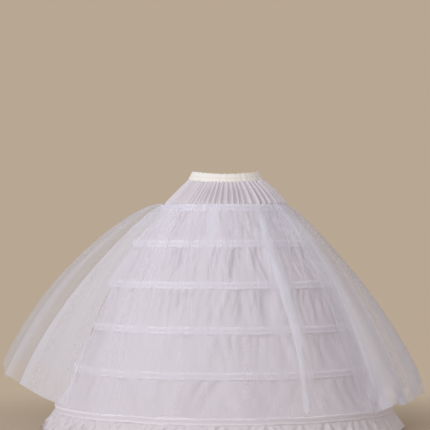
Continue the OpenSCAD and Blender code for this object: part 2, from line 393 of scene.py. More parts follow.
def cotton_tape(colour):
    """Cotton tape in a twill weave: white, matt, with fine slanting ribs. Its flat channel is painted darker
    as shade, and its welts are left lighter as painted highlight. The ribs lie 0.7 mm apart, drawn 2 mm
    apart so that they show, and wear has left it faintly cloudy in patches of 25 mm."""
    material, tree = new_material("White cotton twill tape")
    # Painted light: a darker colour for the flat channel as painted shade, and full colour for the welts as
    # painted highlight
    channel_shade, lit_welt = linear("#F1EFF2"), linear("#FFFFFF")
    cloth = add_node(tree, "ShaderNodeTexCoord").outputs["UV"]
    turned = add_node(tree, "ShaderNodeMapping", {"Vector": cloth, "Rotation": (0, 0, math.radians(45))})
    ribs = add_node(tree, "ShaderNodeTexWave", {
        "Vector": turned.outputs["Vector"], "Scale": stripes(2), "Distortion": 0.4})
    clouds = add_node(tree, "ShaderNodeTexNoise", {"Vector": cloth, "Scale": grains(25), "Detail": 4.0})
    tone = add_node(tree, "ShaderNodeMix", {
        "Factor": clouds.outputs["Fac"], **tones(colour, 0.95, 1.05)}, data_type="RGBA")
    # The edge attribute marks the welts: this mix paints the channel darker as shade and leaves the welts lit
    edge = add_node(tree, "ShaderNodeAttribute", attribute_name="edge")
    welt_shading = add_node(tree, "ShaderNodeMix", {
        "Factor": edge.outputs["Fac"], MIX_A: shade(channel_shade), MIX_B: shade(lit_welt)}, data_type="RGBA")
    both = add_node(tree, "ShaderNodeMix", {
        "Factor": 1.0, MIX_A: tone.outputs[MIXED], MIX_B: welt_shading.outputs[MIXED]},
        data_type="RGBA", blend_type="MULTIPLY")
    rough = add_node(tree, "ShaderNodeMapRange", {
        "Value": ribs.outputs["Fac"], "To Min": 0.75, "To Max": 0.9})
    bump = add_node(tree, "ShaderNodeBump", {
        "Height": ribs.outputs["Fac"], "Strength": 0.3, "Distance": 0.0003})
    shader = add_node(tree, "ShaderNodeBsdfPrincipled", {
        "Base Color": both.outputs[MIXED], "Roughness": rough.outputs["Result"],
        "Normal": bump.outputs["Normal"], "Sheen Weight": 0.2, "Specular IOR Level": 0.25})
    add_node(tree, "ShaderNodeOutputMaterial", {"Surface": shader.outputs["BSDF"]})
    return material


def woven_elastic(colour):
    """Woven elastic: warm white, ribbed along its length where rubber cords run 2.5 mm apart, and crossed by
    a fine knit whose loops lie 1.2 mm apart and stand a third as high."""
    material, tree = new_material("Woven waist elastic")
    cloth = add_node(tree, "ShaderNodeTexCoord").outputs["UV"]
    cords = add_node(tree, "ShaderNodeTexWave", {
        "Vector": cloth, "Scale": stripes(2.5), "Distortion": 0.3}, bands_direction="Y")
    knit = add_node(tree, "ShaderNodeTexWave", {
        "Vector": cloth, "Scale": stripes(1.2), "Distortion": 0.5}, bands_direction="X")
    height = add_node(tree, "ShaderNodeMath", {
        0: knit.outputs["Fac"], 1: 0.35, 2: cords.outputs["Fac"]}, operation="MULTIPLY_ADD")
    # Painted shade: the colour is a little darker in the grooves between the cords and lighter on top of them
    tone = add_node(tree, "ShaderNodeMix", {
        "Factor": cords.outputs["Fac"], **tones(colour, 0.95, 1.02)}, data_type="RGBA")
    rough = add_node(tree, "ShaderNodeMapRange", {
        "Value": height.outputs["Value"], "To Min": 0.7, "To Max": 0.85})
    bump = add_node(tree, "ShaderNodeBump", {
        "Height": height.outputs["Value"], "Strength": 0.4, "Distance": 0.0004})
    shader = add_node(tree, "ShaderNodeBsdfPrincipled", {
        "Base Color": tone.outputs[MIXED], "Roughness": rough.outputs["Result"],
        "Normal": bump.outputs["Normal"], "Specular IOR Level": 0.25})
    add_node(tree, "ShaderNodeOutputMaterial", {"Surface": shader.outputs["BSDF"]})
    return material


def nylon_net(colour, cover):
    """Sheer nylon net with six-sided holes: white thread that covers a third of the view, so what lies behind
    shows through. The fine thread passes on nearly as much light as it throws back, so the net looks as
    bright from inside as from outside. Where it is creased, and in long streaks 67 mm wide where it was
    crushed, its threads lie closer and it covers more. The holes are 1.5 mm wide, drawn 5 mm wide so that
    they show."""
    material, tree = new_material("Sheer nylon net")
    cloth = add_node(tree, "ShaderNodeTexCoord").outputs["UV"]
    cells = add_node(tree, "ShaderNodeTexVoronoi", {
        "Vector": cloth, "Scale": grains(5)}, feature="DISTANCE_TO_EDGE")
    thread = add_node(tree, "ShaderNodeMapRange", {
        "Value": cells.outputs["Distance"], "From Max": 0.3, "To Min": 1.0, "To Max": 0.0})
    tone = add_node(tree, "ShaderNodeMix", {
        "Factor": thread.outputs["Result"], **tones(colour, 0.98, 1.02)}, data_type="RGBA")
    bump = add_node(tree, "ShaderNodeBump", {
        "Height": thread.outputs["Result"], "Strength": 0.06, "Distance": 0.0003})
    along = add_node(tree, "ShaderNodeMapping", {
        "Vector": cloth, "Scale": (grains(66.7), grains(1111), 1)})
    streaks = add_node(tree, "ShaderNodeTexNoise", {
        "Vector": along.outputs["Vector"], "Scale": 1.0, "Detail": 2.0, "Roughness": 0.5})
    crush = add_node(tree, "ShaderNodeMapRange", {
        "Value": streaks.outputs["Fac"], "From Min": 0.3, "From Max": 0.7,
        "To Min": 0.8 * cover, "To Max": 1.2 * cover})
    crease = add_node(tree, "ShaderNodeAttribute", attribute_name="crease")
    thick = add_node(tree, "ShaderNodeMath", {
        0: crease.outputs["Fac"], 1: 0.15, 2: crush.outputs["Result"]}, operation="MULTIPLY_ADD")
    thrown_back = add_node(tree, "ShaderNodeBsdfPrincipled", {
        "Base Color": tone.outputs[MIXED], "Roughness": 0.7, "Normal": bump.outputs["Normal"],
        "Sheen Weight": 0.05, "Sheen Roughness": 0.5, "Specular IOR Level": 0.2})
    passed_on = add_node(tree, "ShaderNodeBsdfTranslucent", {
        "Color": tone.outputs[MIXED], "Normal": bump.outputs["Normal"]})
    threads = add_node(tree, "ShaderNodeMixShader", {
        0: 0.45, 1: thrown_back.outputs["BSDF"], 2: passed_on.outputs["BSDF"]})
    holes = add_node(tree, "ShaderNodeBsdfTransparent")
    net = add_node(tree, "ShaderNodeMixShader", {
        0: thick.outputs["Value"], 1: holes.outputs["BSDF"], 2: threads.outputs["Shader"]})
    add_node(tree, "ShaderNodeOutputMaterial", {"Surface": net.outputs["Shader"]})
    return material


def coated_steel():
    """Spring steel strip in white nylon coating: smooth, half glossy and slightly uneven every 17 mm or so,
    as a dipped coat is."""
    material, tree = new_material("White nylon coated steel")
    white = linear("#E8E7E3")
    place = add_node(tree, "ShaderNodeTexCoord").outputs["Object"]
    uneven = add_node(tree, "ShaderNodeTexNoise", {"Vector": place, "Scale": grains(16.7), "Detail": 3.0})
    tone = add_node(tree, "ShaderNodeMix", {
        "Factor": uneven.outputs["Fac"], **tones(white, 0.94, 1.03)}, data_type="RGBA")
    rough = add_node(tree, "ShaderNodeMapRange", {
        "Value": uneven.outputs["Fac"], "To Min": 0.3, "To Max": 0.45})
    shader = add_node(tree, "ShaderNodeBsdfPrincipled", {
        "Base Color": tone.outputs[MIXED], "Roughness": rough.outputs["Result"]})
    add_node(tree, "ShaderNodeOutputMaterial", {"Surface": shader.outputs["BSDF"]})
    return material


def crimped_steel():
    """Zinc plated sheet steel, pressed round the strip: grey metal with a fine drawn grain along its length,
    0.2 mm wide and drawn 1.11 mm wide so that it shows."""
    material, tree = new_material("Zinc plated sheet steel")
    grey = linear("#B4B6B8")
    place = add_node(tree, "ShaderNodeTexCoord").outputs["Object"]
    drawn = add_node(tree, "ShaderNodeMapping", {
        "Vector": place, "Scale": (grains(33.3), grains(33.3), grains(1.11))})
    grain = add_node(tree, "ShaderNodeTexNoise", {
        "Vector": drawn.outputs["Vector"], "Scale": 1.0, "Detail": 4.0})
    tone = add_node(tree, "ShaderNodeMix", {
        "Factor": grain.outputs["Fac"], **tones(grey, 0.85, 1.1)}, data_type="RGBA")
    rough = add_node(tree, "ShaderNodeMapRange", {
        "Value": grain.outputs["Fac"], "To Min": 0.28, "To Max": 0.45})
    shader = add_node(tree, "ShaderNodeBsdfPrincipled", {
        "Base Color": tone.outputs[MIXED], "Roughness": rough.outputs["Result"], "Metallic": 1.0})
    add_node(tree, "ShaderNodeOutputMaterial", {"Surface": shader.outputs["BSDF"]})
    return material


# Waistband and yoke

# Thickness of the waistband, depth of its short and long slack and of its wavy edge, in metres
BAND_T = 0.0032
SHORT_SLACK, LONG_SLACK, WAVY_EDGE = 0.0004, 0.0006, 0.0006
# How far the yoke is tucked in at both edges, and how far inside the waistband's outer face, in metres
YOKE_TUCK, YOKE_INSET = 0.004, 0.0018
# Cut width of the yoke as a share of its mean length round
YOKE_FULLNESS = 1.7
# How far pleats stray from even places, in pleats, and how much closer they lie on the left than on the right
YOKE_STRAY, YOKE_CROWDING = 0.2, 0.36
# Mean size of the pleats, and how much larger they are on the right and smaller on the left
YOKE_PLEAT, YOKE_LOPSIDED = 0.9, 0.65
# Depth of the narrow creases where the pleats are small, in metres
YOKE_CREASE = 0.005


def saddle(angle, rise):
    """Height of the waist's edge above its mean: low in front and behind, high at the sides."""
    return -rise * np.cos(2 * angle)


class PETTICOAT_OT_waistband(bpy.types.Operator):
    """Makes the elastic waistband."""

    bl_idname = "petticoat.waistband"
    bl_label = "Waistband"

    def execute(self, context):
        sizes, colours = context.scene.petticoat_sizes, context.scene.petticoat_colours
        rng = np.random.default_rng(SEEDS["waistband"])
        height, middle = WAIST_TOP - WAIST_LOW, (WAIST_TOP + WAIST_LOW) / 2
        r = WAIST_R - BAND_T / 2

        def place(u, s):
            angle = round_angle(u)
            # A flat band with round edges: a squared ellipse taken once round
            out = squared(np.cos(TURN * s), 0.4) * BAND_T / 2
            up = squared(np.sin(TURN * s), 0.25) * height / 2
            slack = SHORT_SLACK * wave_sum(u, 9, 24, 5, rng) + LONG_SLACK * wave_sum(u, 2, 5, 3, rng)
            edge = WAVY_EDGE * wave_sum(u, 20, 46, 5, rng)
            flare = -sizes.waist_flare * up / height
            z = middle - sizes.waist_slip + up + saddle(angle, sizes.waist_saddle) + edge
            return ring_points(r + out + slack + flare, angle, z) + np.array([sizes.waist_aside, 0, 0])

        piece = round_cloth("waist_elastic", place, (TURN * r, 2 * height), around=360, down=32, tube=True)
        finish_piece(piece, woven_elastic(colours.elastic), "waistband")
        return {"FINISHED"}


class PETTICOAT_OT_yoke(bpy.types.Operator):
    """Makes the pleated yoke between the waistband and the first hoop."""

    bl_idname = "petticoat.yoke"
    bl_label = "Yoke"

    def execute(self, context):
        sizes, colours = context.scene.petticoat_sizes, context.scene.petticoat_colours
        rng = np.random.default_rng(SEEDS["yoke"])
        top_r = WAIST_R - YOKE_INSET + sizes.waist_flare / 2
        top_z = WAIST_LOW - sizes.waist_slip + YOKE_TUCK
        low_r, low_z = HOOP_R[0], CASING[0][2] - YOKE_TUCK

        def place(u, s):
            angle = round_angle(u)
            uneven = u + YOKE_STRAY / sizes.yoke_folds * wave_sum(u, 5, 17, 4, rng)
            # Wide deep pleats on the right, narrow shallow ones on the left
            phase = TURN * sizes.yoke_folds * (uneven + YOKE_CROWDING / TURN * np.cos(angle))
            # Narrow crests that lean to one side, with wide valleys between them
            pleat = 2 * (0.5 + 0.5 * np.cos(phase + 0.4 * np.cos(phase))) ** 1.5 - 1
            side = YOKE_PLEAT + YOKE_LOPSIDED * np.sin(angle)
            size = side * (0.85 + 0.15 * wave_sum(u, 6, 15, 3, rng))
            # Pleats deepen down to the middle, and are pressed flat at the lower seam
            depth = sizes.yoke_gather * between(0.45, 1, smooth_step(0, 0.5, s))
            depth = depth * between(1, 0.2, smooth_step(0.82, 1, s))
            crease = YOKE_CREASE * np.abs(wave_sum(u, 60, 90, 5, rng)) * np.maximum(1.1 - side, 0.1)
            r = between(top_r, low_r, s) + pleat * size * depth - crease
            z = between(top_z, low_z, s) + (1 - s) * saddle(angle, sizes.waist_saddle)
            aside = np.array([sizes.waist_aside, 0, 0]) * (1 - s)[:, :, None]
            return ring_points(r, angle, z) + aside

        width, length = strip_size(YOKE_FULLNESS, top_r, top_z, low_r, low_z)
        piece = round_cloth("gathered_yoke", place, (width, length), around=1040, down=18)
        thicken(piece, sizes.cloth_t)
        finish_piece(piece, taffeta(colours.cloth), "yoke")
        return {"FINISHED"}


# Tiers and ruffle

# How far a tier and the ruffle are tucked into their casings, in metres
CASING_TUCK = 0.003
# Folds round each tier where it is gathered, from the top tier down
TIER_FOLDS = (64, 112, 96, 70, 62)
# How strongly each tier is gathered
TIER_STRENGTH = (1.0, 1.15, 0.9, 0.75, 0.75)
# Cut width of a tier and of the ruffle as a share of their mean length round
TIER_FULLNESS, RUFFLE_FULLNESS = 1.15, 1.35
# Depth of a tier's wavy rim in metres, and how far its folds lean aside by its lower edge, in folds
TIER_RIM, TIER_LEAN = 0.0008, 0.9
# How far down a tier its fine gathers reach, as a share of it: the mean, how much it varies, and the least
GATHER_REACH, REACH_VARIES, REACH_LEAST = 0.33, 0.14, 0.1
# Folds round the ruffle, and how far they stray from their even places, in folds
RUFFLE_FOLDS, RUFFLE_STRAY = 76, 0.6
# How far the ruffle's folds keep inside the hem's radius, and how far its hem waves up and down, in metres
RUFFLE_INSET, HEM_LIFT = 0.003, 0.004
# Depth of the ruffle's creases on the right, and how much deeper they are on the left, in metres
RUFFLE_CREASE, LEFT_CREASE = 0.0022, 0.0035


class PETTICOAT_OT_tiers(bpy.types.Operator):
    """Makes the five gathered tiers between the hoops."""

    bl_idname = "petticoat.tiers"
    bl_label = "Tiers"

    def execute(self, context):
        sizes, colours = context.scene.petticoat_sizes, context.scene.petticoat_colours
        cloth = taffeta(colours.cloth)
        for tier, (folds, strength) in enumerate(zip(TIER_FOLDS, TIER_STRENGTH)):
            self.make_tier(tier, folds, strength * sizes.tier_gather, sizes, cloth)
        return {"FINISHED"}

    def make_tier(self, tier, folds, depth, sizes, cloth):
        """Hangs one tier from its casing down to the next."""
        rng = np.random.default_rng(SEEDS["tiers"] + tier)
        top_r, low_r = HOOP_R[tier], HOOP_R[tier + 1]
        top_z, low_z = CASING[tier][1] + CASING_TUCK, CASING[tier + 1][2] - CASING_TUCK

        def place(u, s):
            lean = TIER_LEAN / folds * wave_sum(u, 4, 14, 4, rng) * s
            reach = np.maximum(GATHER_REACH + REACH_VARIES * wave_sum(u, 11, 31, 5, rng), REACH_LEAST)
            # Gathers are crowded in some places and sparse in others
            crowd = 0.8 + 0.35 * wave_sum(u, 5, 17, 4, rng)
            fine = crowd * gathers(u + lean, int(0.36 * folds), int(0.64 * folds), 6, rng)
            middling = wave_sum(u + lean, int(0.18 * folds), int(0.34 * folds), 5, rng)
            broad = wave_sum(u - lean, 7, 19, 4, rng)
            slanting = creases(u, s, int(0.4 * folds), int(0.9 * folds), 5, rng)
            # Fine gathers fade below the casing, and broad folds are deepest half way down
            rise = smooth_step(0, 0.1, s)
            fine_depth = rise * (np.exp(-s / reach) + 0.1) * (1 - smooth_step(0.9, 1, s))
            middling_depth = 0.7 * rise * np.sin(math.pi * np.clip(0.15 + 0.8 * s, 0, 1))
            broad_depth = 0.6 * np.sin(math.pi * s)
            fold = fine * fine_depth + middling * middling_depth + (broad + 0.6 * slanting) * broad_depth
            rim = TIER_RIM * wave_sum(u, folds, 2 * folds, 3, rng) * (1 - rise)
            sag = sizes.tier_sag * np.sin(math.pi * s) ** 0.8
            r = between(top_r, low_r, s) + depth * fold - sag + rim
            return ring_points(r, round_angle(u), between(top_z, low_z, s))

        width, length = strip_size(TIER_FULLNESS, top_r, top_z, low_r, low_z)
        piece = round_cloth(f"gathered_tier_{tier + 1}", place, (width, length), around=720, down=22)
        thicken(piece, sizes.cloth_t)
        finish_piece(piece, cloth, f"tier_{tier + 1}")


class PETTICOAT_OT_ruffle(bpy.types.Operator):
    """Makes the gathered ruffle below the last hoop."""

    bl_idname = "petticoat.ruffle"
    bl_label = "Hem ruffle"

    def execute(self, context):
        sizes, colours = context.scene.petticoat_sizes, context.scene.petticoat_colours
        rng = np.random.default_rng(SEEDS["ruffle"])
        top_r, top_z = HOOP_R[-1], CASING[-1][1] + CASING_TUCK
        low_r = HEM_R - sizes.ruffle_gather - RUFFLE_INSET

        def place(u, s):
            angle = round_angle(u)
            phase = TURN * (RUFFLE_FOLDS * u + RUFFLE_STRAY * wave_sum(u, 7, 23, 5, rng))
            size = 0.65 + 0.35 * wave_sum(u, 9, 25, 4, rng)
            depth = sizes.ruffle_gather * (0.35 * smooth_step(0, 0.25, s) + 0.65 * s)
            # Crumpled on the left, and smoother towards the right
            left = 1 - smooth_step(-1.2, 0.3, np.sin(angle))
            crease = (RUFFLE_CREASE + LEFT_CREASE * left) * creases(u, s, 60, 150, 6, rng)
            size = size * (0.65 + 0.5 * left)
            r = between(top_r, low_r, s ** 0.85) + depth * size * np.cos(phase)
            r = r + crease * smooth_step(0, 0.15, s)
            # Crests and valleys curl over to the side, most of all at the hem
            aside = -0.6 * depth * size * np.sin(2 * phase) / r
            lift = HEM_LIFT * size * np.cos(phase + 0.8) * s ** 2
            z = between(top_z, HEM_Z + HEM_LIFT, s) + lift
            return ring_points(r, angle + aside, np.maximum(z, HEM_Z))

        width, length = strip_size(RUFFLE_FULLNESS, top_r, top_z, low_r, HEM_Z)
        piece = round_cloth("hem_flounce", place, (width, length), around=1100, down=16)
        thicken(piece, sizes.cloth_t)
        finish_piece(piece, taffeta(colours.cloth), "hem_ruffle")
        return {"FINISHED"}


# Casings

# Height of a tape's doubled edges, how far it is pressed in all over and how far its rims are, in metres
WELT, TAPE_PRESSED, RIM_PRESSED = 0.0016, 0.0002, 0.0012
# Depth of a tape's puckers, and how far it and its edges wander up and down, in metres
PUCKER, TAPE_WANDER, EDGE_WANDER = 0.0006, 0.001, 0.0006


class PETTICOAT_OT_casings(bpy.types.Operator):
    """Makes the sewn tapes round the hoops."""

    bl_idname = "petticoat.casings"
    bl_label = "Casings"

    def execute(self, context):
        colours = context.scene.petticoat_colours
        tape = cotton_tape(colours.tape)
        for i in range(HOOP_COUNT):
            self.make_casing(i, tape)
        return {"FINISHED"}

    def make_casing(self, i, tape):
        """One tape: two folded welts with a flatter channel between them, closed round the steel."""
        rng = np.random.default_rng(SEEDS["casings"] + i)
        outer, low, top = CASING[i]
        r, height, middle = HOOP_R[i], top - low, (top + low) / 2
        half_t = outer - r

        def place(u, s):
            # Place on the tape's section, from its lower rim to its upper and from inside to outside, -1 to 1
            across = squared(np.sin(TURN * s), 0.5)
            side = squared(np.cos(TURN * s), 0.35)
            welt = WELT * bell(np.abs(across) - 0.72, 0.2)
            out = side * (half_t - TAPE_PRESSED + welt - RIM_PRESSED * across ** 4)
            pucker = PUCKER * wave_sum(u, 70, 150, 5, rng) * across ** 2
            wander = TAPE_WANDER * wave_sum(u, 5, 21, 5, rng)
            wander = wander + EDGE_WANDER * wave_sum(u, 30, 80, 4, rng) * across
            # Painted light: this level marks the welts, which the material leaves lit, against the channel,
            # which it paints darker as shade
            lit_welt = smooth_step(0.3, 0.6, np.abs(across))
            z = middle + across * height / 2 + wander
            return ring_points(r + out + pucker, round_angle(u), z), lit_welt

        piece = round_cloth(f"hoop_casing_{i + 1}", place, (TURN * r, 2 * height), around=480, down=24,
                            tube=True, mark="edge")
        finish_piece(piece, tape, f"casing_{i + 1}")


# Net overskirt

# Cut width of the net, and how far its seam stands off the first casing and above it, in metres
NET_WIDTH = 5.2
SEAM_CLEAR, SEAM_RISE = 0.0025, 0.004
# How far the net's upper edge is drawn in over the casing, to the yoke that it is sewn to, in metres, and
# over which share of the net's length
SEAM_TUCK, TUCK_REACH = 0.014, 0.02
# Slope below the horizontal at the seam and at the hem, in degrees, and how soon the one turns to the other
SEAM_SLOPE, HEM_SLOPE, SLOPE_BEND = 45, 72, 1.15
# How much flatter the net starts where it puffs out below the seam, in degrees, how much more for each degree
# by which it is spread out there, and the share of its length by which that fades
PUFF, PUFF_GROWTH, PUFF_REACH = 12.8, 1.12, 0.03
# Where the net is spread out: angle, half width, and how much flatter it starts and ends, in degrees
SPREADS = ((-92, 41, 18.4, 5.5), (92, 36, 1, 4))
# Ridges of the big folds: angle, half width and lift in degrees
RIDGES = (
    (-104, 9, 5.5), (-66, 7, 5), (-48, 5, 1.5), (-33, 5, 2), (-15, 6, 2.5), (5, 5, 1.5), (26, 4, 5.5),
    (44, 5, 1.5), (59, 5, 4), (76, 6, 6), (100, 10, 6.5),
    (124, 7, 4), (143, 6, 3), (162, 7, 4.5), (-176, 6, 3), (-157, 7, 4), (-138, 6, 3.5), (-121, 6, 3),
)
# How much steeper the net hangs between the ridges, in degrees, and the share of a ridge that the seam has
VALLEY, RIDGE_START = 1.2, 0.55
# Where the net is cut longer: angle, half width in degrees, and by which share
LONG_SIDE = (-78, 34, 0.016)
# Where the hem curls in: angle, half width and turn in degrees, and the share of the length where it begins
HEM_CURL = (88, 13, 40, 0.88)

# A pleat of the net: its angle at the hem and at the seam, in degrees from the front to the right, its
# overlap at the seam and at the hem in metres, the share of the length by which the one has changed to the
# other, the side that its upper lip faces, -1 for left, how sharply its lips are creased, and its half width
# in degrees, which is that of a big pleat where none is given
Pleat = namedtuple("Pleat", "at seam_at overlap hem_overlap opened way lip half", defaults=[1.5])
# Knife pleats that the photograph shows
FRONT_PLEATS = (
    Pleat(22.5, 40, 0.12, 0.008, 0.85, -1, 2.4),
    Pleat(-55.3, -54.5, 0.045, 0.15, 1.1, -1, 1),
    Pleat(49, 58, 0.035, 0.075, 0.9, 1, 0.8),
    Pleat(60.5, 68.5, 0.06, 0.16, 0.9, 1, 1.2),
    Pleat(80.5, 86, 0.11, 0.34, 0.9, 1, 0),
    Pleat(-6, -10, 0.03, 0, 0.55, 1, 0.6),
    Pleat(-36, -42, 0.035, 0, 0.6, 1, 0.6),
)
# Big pleats behind, and the angles between which they lie, in degrees
BACK_PLEATS, BACK_FROM, BACK_TO = 9, 100, 260
# Angle from one small pleat to the next, and the least angle from a big one, in degrees
SMALL_PITCH, BIG_CLEAR = 5.0, 4
# Share of the length by which a pleat's pull to the side fades, and how far from a small pleat, in degrees
PULL_REACH, SMALL_PULL = 0.3, 5 * math.sqrt(2)
# How far a pleat's lips lie apart at the seam and further down, in metres, either way
SEAM_LAYER, FREE_LAYER = 0.001, 0.0055
# Width of a crease along a lip, in half widths of its pleat, and strength of the one along the lower lip
LIP_WIDTH, LOWER_LIP = 0.3, 0.7
# Depth of the fine gathers below the seam and of the wide ripples further down, in metres
FINE_RIPPLE, WIDE_RIPPLE = 0.004, 0.006
# Where the net hangs smooth: angle, half width in degrees, and the share of its ripples that is left
SMOOTH_SIDES = ((-95, 46, 0.12), (88, 27, 0.3))
# Where the hem is crumpled: angle, half width, depth in metres and width of a ripple in degrees
CRUMPLES = ((61, 13, 0.011, 7.0), (26.5, 5, 0.006, 4.0))
# The share of the length where the crumples begin
CRUMPLE_START = 0.84
# Where the net lies slack or stretched and covers more or less: angle, half width in degrees, and level
DENSITY = ((-93, 29, 0.65), (-67, 2.5, 1.0), (36, 8, -0.7), (60, 7, 0.4), (84, 15, -0.9))


def round_gap(a, b):
    """Angle from b to a, from -180 to 180 degrees."""
    return (a - b + 180) % 360 - 180


class NetShape:
    """The fall of the net. Each line from seam to hem curves down from its start slope to its end slope.
    Ridges lift it, pleats lay it over itself, and small gathers fade below the seam."""

    def __init__(self, seam_r, seam_z, length):
        self.seam_r, self.seam_z, self.length = seam_r, seam_z, length

    def place(self, u, s):
        """Where the net's points hang, and how closely its threads lie at each of them."""
        rng = np.random.default_rng(SEEDS["net"])
        angles, *tables = self.profile(s)
        cloth = 360 * (u - 0.5)
        angle, layer, crease = self.lay_pleats(cloth, s, tables[0].mean(axis=1, keepdims=True), rng)
        out = layer + self.ripples(u, s, cloth, rng) + self.crumples(angle, s)
        for at, width, level in DENSITY:
            crease = crease + level * bell(round_gap(angle, at), width, 6)
        wrapped = round_gap(angle, 0)
        r, z, slope = (np.stack([np.interp(row, angles, line) for row, line in zip(wrapped, table)])
                       for table in tables)
        return ring_points(r + out * np.sin(slope), np.radians(angle), z + out * np.cos(slope)), crease

    def profile(self, s):
        """Radius, height and slope on a round of angles, for each step of s."""
        angles = np.linspace(-180, 180, 721)
        slope = np.radians(self.slope(angles[None, :], s))
        at, width, longer = LONG_SIDE
        length = self.length * (1 + longer * bell(round_gap(angles, at), width, 4))
        step = length * np.diff(s[:, 0])[:, None]
        middle = (slope[1:] + slope[:-1]) / 2
        start = np.zeros((1, len(angles)))
        r = self.seam_r + np.concatenate([start, np.cumsum(np.cos(middle) * step, axis=0)])
        r = r - SEAM_TUCK * (1 - smooth_step(0, TUCK_REACH, s))
        z = self.seam_z - np.concatenate([start, np.cumsum(np.sin(middle) * step, axis=0)])
        return angles, r, z, slope

    def slope(self, angle, s):
        """Slope below the horizontal, in degrees."""
        first, final = SEAM_SLOPE, HEM_SLOPE
        for at, width, flatter, flatter_hem in SPREADS:
            near = bell(round_gap(angle, at), width, 4)
            first, final = first - flatter * near, final - flatter_hem * near
        ridge = -VALLEY
        for at, width, lift in RIDGES:
            ridge = ridge + lift * bell(round_gap(angle, at), width)
        ridge = ridge * between(RIDGE_START, 1, smooth_step(0, 0.5, s))
        puff = (PUFF + PUFF_GROWTH * (SEAM_SLOPE - first)) * np.exp(-s / PUFF_REACH)
        at, width, turn, begins = HEM_CURL
        curl = turn * smooth_step(begins, 1, s) * bell(round_gap(angle, at), width)
        return between(first, final, 1 - (1 - s) ** SLOPE_BEND) - ridge - puff + curl

    def lay_pleats(self, cloth, s, mean_r, rng):
        """Lays the cloth in pleats: the angle round the skirt where each point comes to lie, how far it lies
        out over its neighbours, and how sharply it is creased."""
        big, small = self.pleats(rng)
        pull = np.interp(cloth, [pleat.at for pleat in big], [pleat.seam_at - pleat.at for pleat in big],
                         period=360)
        for pleat in small:
            pull = pull + (pleat.seam_at - pleat.at) * bell(round_gap(cloth, pleat.at), SMALL_PULL)
        angle = cloth + pull * np.exp(-s / PULL_REACH)
        layer, crease = 0 * angle, 0 * angle
        depth = between(SEAM_LAYER, FREE_LAYER, smooth_step(0, 0.2, s))
        for pleat in big + small:
            change = smooth_step(0.1, pleat.opened, s)
            shut = 1 - change * (pleat.hem_overlap == 0)
            overlap = between(pleat.overlap, pleat.hem_overlap, change)
            # From one lip, at -1, to the other, at 1, the cloth runs backwards
            v = round_gap(cloth, pleat.at) / pleat.half
            back = shut * v * np.exp((1 - v ** 2) / 2)
            angle = angle - (pleat.half + np.degrees(overlap / 2 / mean_r)) * back
            layer = layer - pleat.way * depth * back
            lips = bell(v + pleat.way, LIP_WIDTH) + LOWER_LIP * bell(v - pleat.way, LIP_WIDTH)
            crease = np.maximum(crease, pleat.lip * shut * lips)
        return angle, layer, crease

    def pleats(self, rng):
        """The big pleats, and the small ones that gather the cloth between them."""
        big = list(FRONT_PLEATS)
        for at in np.linspace(BACK_FROM, BACK_TO, BACK_PLEATS):
            at += rng.uniform(-5, 5)
            big.append(Pleat(
                at, seam_at=at + rng.uniform(-8, 8), overlap=rng.uniform(0.02, 0.06), hem_overlap=0,
                opened=rng.uniform(0.4, 0.8), way=rng.choice([-1, 1]), lip=1))
        small = []
        for at in np.arange(-180, 180, SMALL_PITCH):
            at += rng.uniform(-2, 2)
            pleat = Pleat(
                at, seam_at=at + rng.normal(0, 3.5), overlap=rng.uniform(0.006, 0.024), hem_overlap=0,
                opened=rng.uniform(0.2, 0.7), way=rng.choice([-1, 1]), lip=0.35, half=rng.uniform(0.6, 0.9))
            smooth = any(abs(round_gap(at, side)) < width for side, width, _ in SMOOTH_SIDES)
            if not smooth and all(abs(round_gap(at, other.at)) > BIG_CLEAR for other in big):
                small.append(pleat)
        return big, small

    def ripples(self, u, s, cloth, rng):
        """Depth of the fine gathers below the seam and of the ripples further down, calmer at the sides."""
        fine = gathers(u, 45, 70, 6, rng) * smooth_step(0, 0.03, s) * np.exp(-s / 0.16)
        broad = wave_sum(u, 22, 40, 5, rng) * smooth_step(0, 0.25, s) * np.exp(-s / 0.8)
        loose = wave_sum(u, 9, 17, 4, rng) * smooth_step(0.2, 0.9, s)
        calm = 1
        for at, width, left in SMOOTH_SIDES:
            calm = calm - (1 - left) * bell(round_gap(cloth, at), width, 6)
        return calm * (FINE_RIPPLE * fine + WIDE_RIPPLE * (broad + loose))

    def crumples(self, angle, s):
        """Depth of the short folds that cross each other at the hem."""
        total = 0
        for at, width, depth, pitch in CRUMPLES:
            gap = round_gap(angle, at)
            waves = gap / pitch
            folds = np.sin(TURN * (waves + 5 * s)) + 0.6 * np.sin(TURN * (1.7 * waves - 8 * s))
            total = total + depth * folds * smooth_step(CRUMPLE_START, 1, s) * bell(gap, width, 4)
        return total


class PETTICOAT_OT_net(bpy.types.Operator):
    """Makes the sheer net overskirt that hangs from the first casing."""

    bl_idname = "petticoat.net"
    bl_label = "Net overskirt"

    def execute(self, context):
        sizes, colours = context.scene.petticoat_sizes, context.scene.petticoat_colours
        seam_r, seam_z = CASING[0][0] + SEAM_CLEAR, CASING[0][2] + SEAM_RISE
        shape = NetShape(seam_r, seam_z, sizes.net_length)
        width = NET_WIDTH
        piece = round_cloth("sheer_net", shape.place, (width, sizes.net_length), around=1400, down=64,
                            mark="crease")
        # Sheer net scatters the light that it stops, so it casts no shadow of its own
        piece.visible_shadow = False
        finish_piece(piece, nylon_net(colours.net, colours.net_cover), "net_overskirt")
        return {"FINISHED"}


# Hoops

class PETTICOAT_OT_hoops(bpy.types.Operator):
    """Finishes the steel strips and their sleeves, which stay as they are in the frame."""

    bl_idname = "petticoat.hoops"
    bl_label = "Hoops"

    def execute(self, context):
        for prefix, material in (("hoop_sleeve", crimped_steel()), ("hoop", coated_steel())):
            for i in range(1, HOOP_COUNT + 1):
                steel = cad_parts[f"{prefix}_{i}"]
                for slot in steel.material_slots:
                    slot.material = material
        return {"FINISHED"}


# Stage

